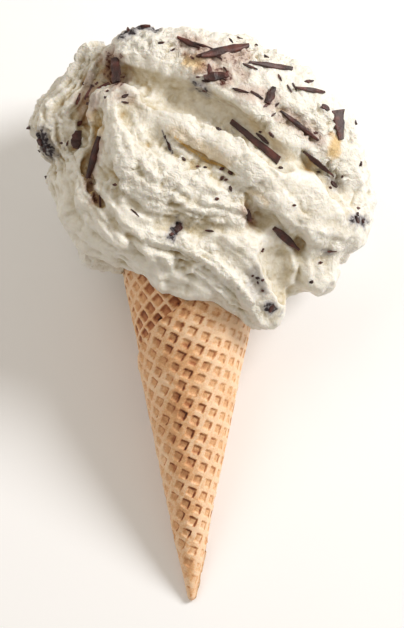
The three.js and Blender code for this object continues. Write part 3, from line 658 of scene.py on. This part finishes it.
# The skin drifts sideways too, so that crumbs overhang, and stays above the floor.
for size, reach, seed in ((9, 1.1, 51), (3.4, 0.45, 54)):
    drift = np.stack([swell(points, size, seed + k) for k in range(3)], -1)
    points = points + reach * drift * outside[:, None]
over_floor = points @ TABLE_UP - FLOOR_LEVEL
points += TABLE_UP * np.maximum(0, 0.05 - over_floor)[:, None]

ice = mesh_piece("ice_cream_heap", points, quads.tolist())

# Painted shade: how sunk the place is, seen from 4 and from 10 mm above it, and how deep it lies in a pit. The
# cream is painted darker and warmer there.
narrow_hollow, wide_hollow = (1 - field_at(points + outward * reach) / reach for reach in (4.0, 10.0))
pit = pit_depth(points, quads, outward)
paint(ice, "hollow", np.clip(0.5 * narrow_hollow + 0.5 * wide_hollow + 0.5 * pit, 0, 1))
paint(ice, "crumbly", np.clip(crumbly, 0, 1))

# Violet where chocolate lies under the skin, cocoa where it has rubbed off, and amber where the ice cream is
# clear; the amber along the creases, the left slot and the upper valley is painted shade, a warm glow. Each is
# the kind, how strong, the half width, and U and V along it.
STAINS = [
    ("violet", 0.86, 3.4, [(-56.9, 175), (-55, 171.6), (-53.5, 169)]),
    ("violet", 0.82, 2.1, [(-25.9, 212.4), (-22.5, 214.7), (-17.2, 216.6), (-13.4, 215.5)]),
    ("violet", 0.7, 2.1, [(1.7, 194.3), (4, 192.4), (6.2, 190.5)]),
    ("violet", 0.8, 2.8, [(60.7, 144.4), (64.4, 143.3)]),
    ("violet", 0.5, 2.6, [(52.7, 159.1), (55, 156.5)]),
    ("violet", 0.5, 3.4, [(23.6, 123.6), (24.8, 117.6)]),
    ("violet", 0.8, 2.3, [(28.5, 111.9), (30.4, 110.4)]),
    ("violet", 0.85, 2.3, [(-7, 137.2), (-4.3, 141)]),
    ("violet", 0.9, 0.5, [(-10.8, 176.5), (-8.9, 172), (-7, 168.2)]),
    ("violet", 0.6, 0.9, [(49, 132.3), (52.4, 131.5)]),
    ("violet", 0.3, 2.3, [(-39.1, 193.9), (-36.9, 187.9)]),
    ("cocoa", 0.75, 4.4, [(-30.1, 203.7), (-28.2, 195.4)]),
    ("cocoa", 0.5, 2.6, [(-38.5, 196.5), (-36.5, 185.5)]),
    ("cocoa", 0.45, 2.3, [(-27.5, 189.5), (-22.5, 188)]),
    ("cocoa", 0.7, 1.9, [(-35, 172), (-38, 159.1), (-36.1, 150.8)]),
    ("cocoa", 0.65, 3.6, [(-3.2, 210.2), (5.1, 207.1), (11.5, 203.7), (19.5, 205.3)]),
    ("cocoa", 0.7, 4.2, [(5.5, 200), (12.3, 196.2)]),
    ("cocoa", 0.55, 2.4, [(16.5, 200.5), (20, 197)]),
    ("cocoa", 0.6, 1.6, [(-2.5, 205.2), (4, 204.2)]),
    ("cocoa", 0.55, 3.6, [(18.3, 191.3), (26.6, 190.1), (30.4, 187.1)]),
    ("cocoa", 0.55, 3.4, [(35, 182.6), (47.8, 173.5)]),
    ("cocoa", 0.6, 1.9, [(20.2, 147), (22.5, 142.9)]),
    ("cocoa", 0.4, 1.5, [(31.2, 139.5), (39.5, 132.7)]),
    ("cocoa", 0.5, 2.6, [(-40.6, 182.6), (-42.1, 189.4)]),
    # Painted shade: warm amber along the crease below the middle band and in the upper valley
    ("amber", 0.3, 2.4, [(-7, 177), (1, 171.8), (8, 167.4), (13, 165)]),
    ("amber", 1, 0.45, [(-6, 174), (-0.6, 169.7), (5.5, 165.6), (11.5, 163.3)]),
    ("amber", 0.8, 2.6, [(54.2, 173), (52.8, 168.6)]),
    ("amber", 0.3, 1.1, [(21, 153.8), (25.1, 152.7), (28.2, 149.3)]),
    ("amber", 0.2, 1.9, [(22.1, 181.1), (28.9, 173.5), (35, 168.2)]),
    ("amber", 0.7, 3, [(-1.2, 202.6), (3.2, 201.6)]),
    # Painted shade: amber in the left slot
    ("amber", 0.4, 2.3, [(-37.2, 182.6), (-34.2, 177.3)]),
]
stained = {kind: np.zeros(len(points)) for kind in ("violet", "cocoa", "amber")}
ragged = 1 + 0.5 * swell(points, 2.2, 61) + 0.35 * swell(points, 1.1, 62)
for kind, strength, width, line in STAINS:
    spread = 1 - ease(to_line(points, line) / width * ragged, 0.3, 1.4)
    amount = strength * spread * ease(outward[:, 2], -0.05, 0.2)
    stained[kind] = np.maximum(stained[kind], amount)
for kind, amount in stained.items():
    paint(ice, kind, amount)

# Cream ice: a wet, cold, white paste that light goes a few millimetres into. Its hollows, pits and creases are
# painted darker and warmer, painted shade for the warm glow there. Ice crystals and air make a grain of about
# 0.5 mm on the torn surfaces, drawn at 0.9 mm to show.
CRYSTAL = 0.0009
CRUMBS = 0.0024
SPECK = 0.0014
TONES = 0.012
# From the lit white cream to the tan of painted shade, read by how far the place lies sunk, plus a random
# tone.
CREAM_COLOURS = [(0.0, "#EAE7DF"), (0.3, "#DDD7C9"), (0.65, "#C5B89B"), (1.0, "#AF8E60")]
STAIN_COLOURS = [("amber", "#D6AA4C", ""), ("cocoa", "#A57A66", "#5A2A20"), ("violet", "#86838D", "#332C31")]
cream, tree, shader = finish_of("white_cream_ice")
place = add(tree, "ShaderNodeTexCoord").outputs["Object"]
hollow = add(tree, "ShaderNodeAttribute", {"attribute_name": "hollow"}).outputs["Fac"]
torn = add(tree, "ShaderNodeAttribute", {"attribute_name": "crumbly"}).outputs["Fac"]
tone = add(tree, "ShaderNodeTexNoise", {"Scale": 1 / TONES, "Detail": 3.0}, {"Vector": place}).outputs["Fac"]
tone = add(tree, "ShaderNodeMath", {"operation": "MULTIPLY_ADD", 1: 0.3, 2: -0.15}, {0: tone}).outputs[0]
depth = add(tree, "ShaderNodeMath", {"operation": "ADD"}, {0: hollow, 1: tone}).outputs[0]
mottle = add(tree, "ShaderNodeTexNoise", {"Scale": 1 / CRUMBS, "Detail": 3.0, "Roughness": 0.6},
             {"Vector": place}).outputs["Fac"]
mottle = add(tree, "ShaderNodeMath", {"operation": "MULTIPLY_ADD", 1: -0.9, 2: 0.45}, {0: mottle}).outputs[0]
depth = add(tree, "ShaderNodeMath", {"operation": "ADD"}, {0: depth, 1: mottle}).outputs[0]
colour = add(tree, "ShaderNodeValToRGB", {"stops": CREAM_COLOURS}, {0: depth}).outputs[0]
specks = add(tree, "ShaderNodeTexNoise", {"Scale": 1 / SPECK, "Detail": 2.0}, {"Vector": place}).outputs["Fac"]
for kind, halo, speck_colour in STAIN_COLOURS:
    amount = add(tree, "ShaderNodeAttribute", {"attribute_name": kind}).outputs["Fac"]
    haze = add(tree, "ShaderNodeMath", {"operation": "MULTIPLY", 1: 0.85}, {0: amount}).outputs[0]
    mixer = add(tree, "ShaderNodeMix", {"data_type": "RGBA"}, {0: haze, 6: colour})
    mixer.inputs[7].default_value = linear(halo)
    if not speck_colour:
        colour = mixer.outputs[2]
        continue
    both = add(tree, "ShaderNodeMath", {"operation": "ADD"}, {0: amount, 1: specks}).outputs[0]
    grains = add(tree, "ShaderNodeMath", {"operation": "MULTIPLY_ADD", "use_clamp": True, 1: 4.0, 2: -4.5},
                 {0: both}).outputs[0]
    mixer = add(tree, "ShaderNodeMix", {"data_type": "RGBA"}, {0: grains, 6: mixer.outputs[2]})
    mixer.inputs[7].default_value = linear(speck_colour)
    colour = mixer.outputs[2]
crystals = add(tree, "ShaderNodeTexNoise", {"Scale": 1 / CRYSTAL, "Detail": 3.0},
               {"Vector": place}).outputs["Fac"]
crumbs = add(tree, "ShaderNodeTexNoise", {"Scale": 1 / CRUMBS, "Detail": 2.0, "Distortion": 0.8},
             {"Vector": place}).outputs["Fac"]
grit = add(tree, "ShaderNodeMath", {"operation": "MULTIPLY_ADD", 1: 0.3}, {0: crystals, 2: crumbs}).outputs[0]
strength = add(tree, "ShaderNodeMath", {"operation": "MULTIPLY_ADD", 1: 0.65, 2: 0.22}, {0: torn}).outputs[0]
bump = add(tree, "ShaderNodeBump", {"Distance": 0.002}, {"Height": grit, "Strength": strength})
gloss = add(tree, "ShaderNodeMath", {"operation": "MULTIPLY_ADD", 1: 0.25, 2: 0.33}, {0: torn}).outputs[0]
tree.links.new(gloss, shader.inputs["Roughness"])
shader.inputs["IOR"].default_value = 1.34
shader.inputs["Subsurface Weight"].default_value = 0.3
shader.inputs["Subsurface Scale"].default_value = 0.002
shader.inputs["Subsurface Radius"].default_value = (1.0, 0.8, 0.55)
tree.links.new(colour, shader.inputs["Base Color"])
tree.links.new(bump.outputs[0], shader.inputs["Normal"])
ice.data.materials.append(cream)
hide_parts("ice_cream")
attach(ice, "root")


# CHOCOLATE SHAVINGS
# Dark chocolate that was poured as a thin thread on the churning ice and broke up as it froze. The large
# pieces are flat splinters with ragged edges, half sunk in the ice cream.

THICKNESS = 1.3
LIFT = 0.3
BRIDGED = 0.85
TO_VIEWER = 0.7

# Each is U and V of one end, U and V of the other end, the width at both ends, and from 0 to 1 how far
# the ends run out to points.
SHAVINGS = [
    (14.9, 180.3, 32.7, 165.6, 2.1, 3.4, 0.1),
    (3.6, 204.5, 21.4, 208.7, 3.8, 3.4, 0.55),
    (-5.1, 211.7, 3.2, 207.5, 1.9, 1.9, 0.7),
    (21.4, 202.2, 37.6, 200, 1.3, 2.6, 0.5),
    (4.7, 196.2, 13.8, 197.3, 3.4, 3, 0.5),
    (30.8, 192.8, 28.2, 186.7, 2.5, 3.8, 0.35),
    (38.7, 192.8, 49.7, 191.3, 1.5, 2.1, 0.7),
    (54.4, 184.5, 55.8, 173.5, 5.7, 2.3, 0.05),
    (33.1, 184.1, 47.4, 173.1, 1.9, 1.7, 0.6),
    (41.8, 169, 53.1, 160.3, 2.3, 1.7, 0.85),
    (-34.2, 174.6, -38.4, 159.1, 3, 2.5, 0.5),
    (-42.5, 176.9, -43.3, 170.5, 4.2, 3.8, 0.45),
    (-28.5, 204.1, -27.8, 194.7, 3.8, 4.2, 0.2),
    (30.8, 140.6, 39.9, 132.7, 3.4, 2.3, 0.6),
]


def on_shown_side(u, v):
    """The point of the ice cream that is seen at U and V, and the direction out of it."""
    near = np.argsort((points[:, 0] - u) ** 2 + (points[:, 1] - v) ** 2)[:60]
    near = near[points[near, 2] > points[near, 2].max() - 3][:6]
    out = outward[near].mean(0)
    return np.array([u, v, points[near, 2].mean()]), out / np.linalg.norm(out)


def splinter(length, first, last, thickness, pointed, seed, stations=7):
    """A flat splinter with sharp broken edges, long in X and flat in Z, as points and faces."""
    draw = np.random.default_rng(seed)
    rings = []
    for i in range(stations + 1):
        t = i / stations
        full = 1 - 0.9 * pointed * (1 - ease(min(t, 1 - t), 0, 0.4))
        width = (first + (last - first) * t) * full
        left, right = (width / 2 * draw.uniform(0.8, 1.15) for side in range(2))
        slant = draw.uniform(-0.3, 0.3) * width if i in (0, stations) else 0
        crest = thickness / 2 * draw.uniform(0.7, 1.2)
        ridge = draw.uniform(-0.5, 0.5) * width / 2
        x = length * (t - 0.5)
        low, edge = -thickness / 2, thickness * 0.2
        for y, z in ((-left, low), (-left, edge), (-left * 0.8, crest), (ridge, crest * 1.15),
                     (right * 0.8, crest), (right, edge), (right, low), (0, low)):
            rings.append([x + slant * y / (width + 0.1), y, z])
    faces = ring_faces(stations + 1, 8).reshape(-1, 4)[:, ::-1].tolist()
    faces += [list(range(8)), [stations * 8 + j for j in range(8)][::-1]]
    return np.array(rings), faces


def laid(shape, middle, along, out, lift=0.0):
    """Turns a splinter so that it lies along a direction with its flat side out."""
    points, faces = shape
    x = along / np.linalg.norm(along)
    y = np.cross(out, x)
    y /= np.linalg.norm(y)
    z = np.cross(x, y)
    return middle + z * lift + points @ np.array([x, y, z]), faces


# Dark chocolate: brown black with a red cast, dull where it broke and a little shiny where it was cast.
# Sugar and cocoa grit of about 0.2 mm, drawn at 0.5 mm to show, mottle the break.
GRIT = 0.0005
BLOOM = 0.004
CHOCOLATE_COLOURS = [(0.3, "#220C09"), (0.5, "#3C1A15"), (0.72, "#66332A")]
chocolate, tree, shader = finish_of("dark_chocolate")
place = add(tree, "ShaderNodeTexCoord").outputs["Object"]
grit = add(tree, "ShaderNodeTexNoise", {"Scale": 1 / GRIT, "Detail": 3.0}, {"Vector": place}).outputs["Fac"]
bloom = add(tree, "ShaderNodeTexNoise", {"Scale": 1 / BLOOM, "Detail": 2.0}, {"Vector": place}).outputs["Fac"]
colour = add(tree, "ShaderNodeValToRGB", {"stops": CHOCOLATE_COLOURS}, {0: bloom}).outputs[0]
gloss = add(tree, "ShaderNodeMath", {"operation": "MULTIPLY_ADD", 1: 0.3, 2: 0.3}, {0: grit}).outputs[0]
bump = add(tree, "ShaderNodeBump", {"Strength": 0.6, "Distance": 0.0003}, {"Height": grit}).outputs[0]
shader.inputs["IOR"].default_value = 1.5
tree.links.new(colour, shader.inputs["Base Color"])
tree.links.new(gloss, shader.inputs["Roughness"])
tree.links.new(bump, shader.inputs["Normal"])

# Each bridges the hollows below it: it is lifted by most of what bulges above the line between its ends.
for number, (u0, v0, u1, v1, first, last, pointed) in enumerate(SHAVINGS, 1):
    shares = np.linspace(0, 1, 9)
    places, ways = zip(*(on_shown_side(u0 + (u1 - u0) * t, v0 + (v1 - v0) * t) for t in shares))
    heights = np.array(places)[:, 2]
    start, slope = heights[0], heights[-1] - heights[0]
    bridged = BRIDGED * (heights - start - slope * shares).max()
    along = np.array([u1 - u0, v1 - v0, slope])
    middle = np.array([(u0 + u1) / 2, (v0 + v1) / 2, start + slope / 2 + bridged])
    out = np.mean(ways, 0) + np.array([0, 0, TO_VIEWER])
    out = out - along * (out @ along) / (along @ along)
    out /= np.linalg.norm(out)
    shape = splinter(np.linalg.norm(along), first, last, THICKNESS, pointed, number)
    points_here, faces = laid(shape, middle, along, out, LIFT)
    shaving = mesh_piece(f"shaving_{number:02d}", points_here, faces, smooth=False)
    shaving.data.materials.append(chocolate)
    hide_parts(f"chocolate_shaving_{number:02d}")
    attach(shaving, "root")


# SMALL CHOCOLATE FLAKES
# The crumbs of the same chocolate, one to ten millimetres long, all over the ice cream. On the shown side
# each one lies where it is seen, and on the rest they are spread by a seeded rule.

# Each is U, V, length, width and the direction that it points in, in degrees from U towards V.
FLAKES = [
    (26.5, 174.1, 6, 1.5, -35), (29.9, 175.2, 2.7, 1.5, -45), (21.5, 200.7, 6.8, 1.1, -19),
    (18.3, 191.5, 6.3, 1.3, -17), (24.4, 189.8, 5.5, 1.5, -34), (6.8, 199.2, 4.6, 1.9, -85),
    (10.8, 196.7, 5.3, 1.5, -30), (43.5, 195.2, 3.9, 1.3, 29), (50.1, 185.8, 3.2, 1.7, -21),
    (14.7, 210.7, 2.9, 0.9, -67), (37.8, 181.1, 4.6, 1.1, -42), (42.1, 176, 3, 1.1, -40),
    (4.2, 208.3, 10.5, 1.3, -26), (9.6, 204.5, 4.8, 1.5, -39), (3.6, 204.7, 3.9, 1.5, 17),
    (18.2, 211.9, 2.4, 0.8, -15), (36.5, 192.4, 3.4, 0.9, -63), (31.9, 186.4, 2.1, 1.1, 45),
    (27.8, 186, 2.7, 1.1, -146), (44.1, 195.4, 3.9, 1.5, 28), (49.9, 185.2, 3.6, 1.6, -15),
    (27, 173.6, 5.2, 1.8, -43), (-42.1, 180, 2.6, 2.2, 40), (-42.5, 189.2, 4.5, 1.5, 70),
    (-38.5, 191, 5.5, 1.2, 68), (-24.6, 189.6, 2.8, 1.4, 20), (-24.6, 187.2, 2.8, 1, -8),
    (21.4, 145.2, 5, 2.2, -62), (-5, 140.4, 4.4, 3, 62), (6.8, 139.4, 3.4, 1, -8),
    (9.5, 151.2, 1.6, 1.4, 0), (11.4, 162.4, 1.9, 1.4, 20), (14.6, 161, 2, 1.6, -20),
    (11.4, 159, 1.8, 1.5, 60), (14.6, 155, 2.2, 1.3, -75), (5.1, 162.8, 1.3, 1.1, 0),
    (2.4, 163.2, 1.2, 1, 0), (-8.4, 171.4, 4.6, 1, -66), (-2.8, 166, 1.8, 1.1, -50),
    (-20.8, 146, 4.2, 0.9, -44), (-28.3, 156.4, 1.7, 1.2, 0), (29.9, 110.6, 3.2, 2.4, 60),
    (24.7, 122, 1.6, 1.3, 0), (26.6, 121.2, 1.3, 1.2, 30), (62, 143.9, 3.2, 2, -30),
    (62.6, 148.2, 1.4, 1.2, 0), (61.5, 180.3, 1.9, 1.3, 60), (63.4, 164.8, 1.9, 1.4, 80),
    (53.2, 157, 3.4, 2.2, -20), (33.3, 162.9, 1.7, 1.1, -10), (52.8, 132, 3.8, 0.9, -12),
    (48.4, 127.8, 1.6, 1.2, 0), (45, 120.6, 1.6, 1.4, 0), (38.2, 148.9, 1.5, 1, 0),
    (26.5, 132.3, 1.6, 1.2, 80), (-46.5, 172.5, 2.2, 0.8, 70), (-48.6, 172.6, 1.5, 1, 0),
    (13.6, 206.5, 3.6, 1, 60), (33, 196.5, 3, 1, -70), (38.5, 193, 3.6, 0.9, -70),
    (30.5, 182.5, 2.6, 1, 40), (46.4, 176, 1.8, 1.2, 0), (-6.9, 207, 2, 1, 30),
    (-11.2, 209.6, 2.4, 1.2, 10), (25.8, 176.4, 1.4, 0.9, 0), (47.5, 161.5, 1.5, 1, 0),
    (-33.8, 150.6, 4.6, 1.1, 82), (-40.6, 195, 1.3, 1.1, -90), (-37.2, 194.3, 1.5, 1.1, -23),
    (-35.3, 194.7, 1.3, 1.1, 44), (-39.1, 190.5, 1.5, 1.1, -69), (-37.6, 188.2, 1.5, 1.1, -2),
    (-38.7, 187.1, 1.1, 1.1, 65), (-31.9, 189, 1.1, 1.1, -48), (-31.2, 191.6, 1.1, 0.9, 19),
    (2.8, 193.5, 1.9, 0.9, 86), (5.1, 191.6, 1.9, 1.1, -27), (22.9, 122.8, 1.1, 1.1, 40),
    (24.8, 120.2, 1.1, 0.9, -73), (26.6, 117.2, 1.1, 1.1, -6), (56.5, 159.9, 1.1, 0.9, 61),
    (52, 155.7, 1.1, 1.1, -52), (13, 158.4, 1.5, 1.1, 15), (-9.6, 174.3, 1.5, 0.8, 82),
    (-56.9, 173.1, 3, 2.6, -31), (-54.6, 170.5, 3.4, 2.6, 36), (-23.6, 214.7, 3.4, 1.5, -77),
    (-17.2, 216.4, 3.8, 1.3, -10), (62.2, 145.9, 1.5, 1.5, 57), (64.4, 143.3, 1.5, 1.1, -56),
    (-7.4, 138, 1.5, 1.5, 11), (-3.6, 140.6, 1.5, 1.1, 78), (21.4, 143.6, 1.9, 1.5, -35),
    (5.5, 195, 3.4, 1.1, -10), (2.6, 196.5, 1.9, 0.8, 0), (27.6, 204.7, 3, 1.2, -25),
    (24.4, 209.4, 1.1, 0.9, 0), (0.4, 203.8, 1.8, 1, -40), (12.5, 199.8, 2.6, 1, -50),
]
FLAKE_LIFT = 0.12
SPREAD_FLAKES = 110
SPREAD_APART = 8
draw = np.random.default_rng(5)
flake_points, flake_faces = [], []


def add_flake(at, out, along, length, width, seed):
    """A small splinter that lies on the skin, with the others in one mesh."""
    offset = sum(len(p) for p in flake_points)
    shape = splinter(length, width, width * 0.8, min(1.0, width * 0.7), 0.75, seed, 4)
    points_here, faces = laid(shape, at, along, out, FLAKE_LIFT)
    flake_points.append(points_here)
    flake_faces.extend([[offset + j for j in face] for face in faces])


for number, (u, v, length, width, degrees) in enumerate(FLAKES):
    at, out = on_shown_side(u, v)
    turn = math.radians(degrees)
    along = np.array([math.cos(turn), math.sin(turn), 0])
    along -= out * (along @ out)
    add_flake(at, out, along, length, width, 200 + number)
chosen = []
for number in draw.permutation(len(points)):
    p, out = points[number], outward[number]
    seen_or_hidden = out[2] > -0.1 or p[1] < PLUG_TOP or p @ TABLE_UP - FLOOR_LEVEL < 5
    if seen_or_hidden or any(np.linalg.norm(p - q) < SPREAD_APART for q in chosen):
        continue
    chosen.append(p)
    along = np.cross(out, draw.normal(size=3))
    size = draw.uniform(0.9, 2.0)
    stretch = draw.uniform(2, 4.5) if draw.random() < 0.25 else draw.uniform(1, 1.6)
    add_flake(p, out, along, size * stretch, size, 600 + len(chosen))
    if len(chosen) > SPREAD_FLAKES:
        break
flakes = mesh_piece("small_chocolate_flakes", np.concatenate(flake_points), flake_faces, smooth=False)
flakes.data.materials.append(chocolate)
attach(flakes, "root")


# FLOOR, LIGHT AND CAMERA
# A pale matt floor, soft daylight from the upper right, and the camera looking down at right angles to
# the cone's axis, as in a picture of the cone held upright.
FLOOR_HALF = 3.0
AIM = np.array([0, 0.03, 0.04])
PHOTO_CENTRE = (4.0, 108.5, 4.0)
PHOTO_HEIGHT = 0.2374
DISTANCE = 1.8
SENSOR = 36


def area_light(name, place, size, power, colour):
    """A round soft lamp that shines on the ice cream."""
    light = bpy.data.lights.new(name, "AREA")
    light.shape = "DISK"
    light.size = size
    light.energy = power
    light.color = linear(colour)[:3]
    lamp = bpy.data.objects.new(name, light)
    lamp.location = place
    lamp.rotation_mode = "QUATERNION"
    lamp.rotation_quaternion = Vector(AIM - np.array(place)).to_track_quat("-Z", "Y")
    bpy.context.scene.collection.objects.link(lamp)


corners = [(x * FLOOR_HALF, y * FLOOR_HALF, 0) for x, y in ((-1, -1), (1, -1), (1, 1), (-1, 1))]
floor_mesh = bpy.data.meshes.new("floor")
floor_mesh.from_pydata(corners, [], [(0, 1, 2, 3)])
floor = bpy.data.objects.new("floor", floor_mesh)
bpy.context.scene.collection.objects.link(floor)

# Matt white paper: plain, pale and without a sheen, so that only soft shadows show on it.
paper, tree, shader = finish_of("matt_white_paper")
shader.inputs["Base Color"].default_value = linear("#F9FAFD")
shader.inputs["Roughness"].default_value = 0.9
floor_mesh.materials.append(paper)

area_light("window", (0.88, 0.44, 0.81), 0.5, 14.5, "#FFFDFA")
area_light("room", (-0.5, 0.3, 0.95), 0.8, 2.5, "#FFFBF6")
world = bpy.data.worlds.new("soft_room")
world.use_nodes = True
background = world.node_tree.nodes["Background"]
background.inputs["Color"].default_value = linear("#FFF3E0")
background.inputs["Strength"].default_value = 0.40
bpy.context.scene.world = world
bpy.context.scene.view_settings.view_transform = "Standard"

lens = bpy.data.cameras.new("camera")
lens.sensor_width = SENSOR
lens.lens = SENSOR * DISTANCE / PHOTO_HEIGHT
camera = bpy.data.objects.new("camera", lens)
back = np.array([0, -math.sin(LEAN), math.cos(LEAN)])
camera.location = to_frame(PHOTO_CENTRE) + back * DISTANCE
camera.rotation_euler = (LEAN, 0, 0)
bpy.context.scene.collection.objects.link(camera)
bpy.context.scene.camera = camera
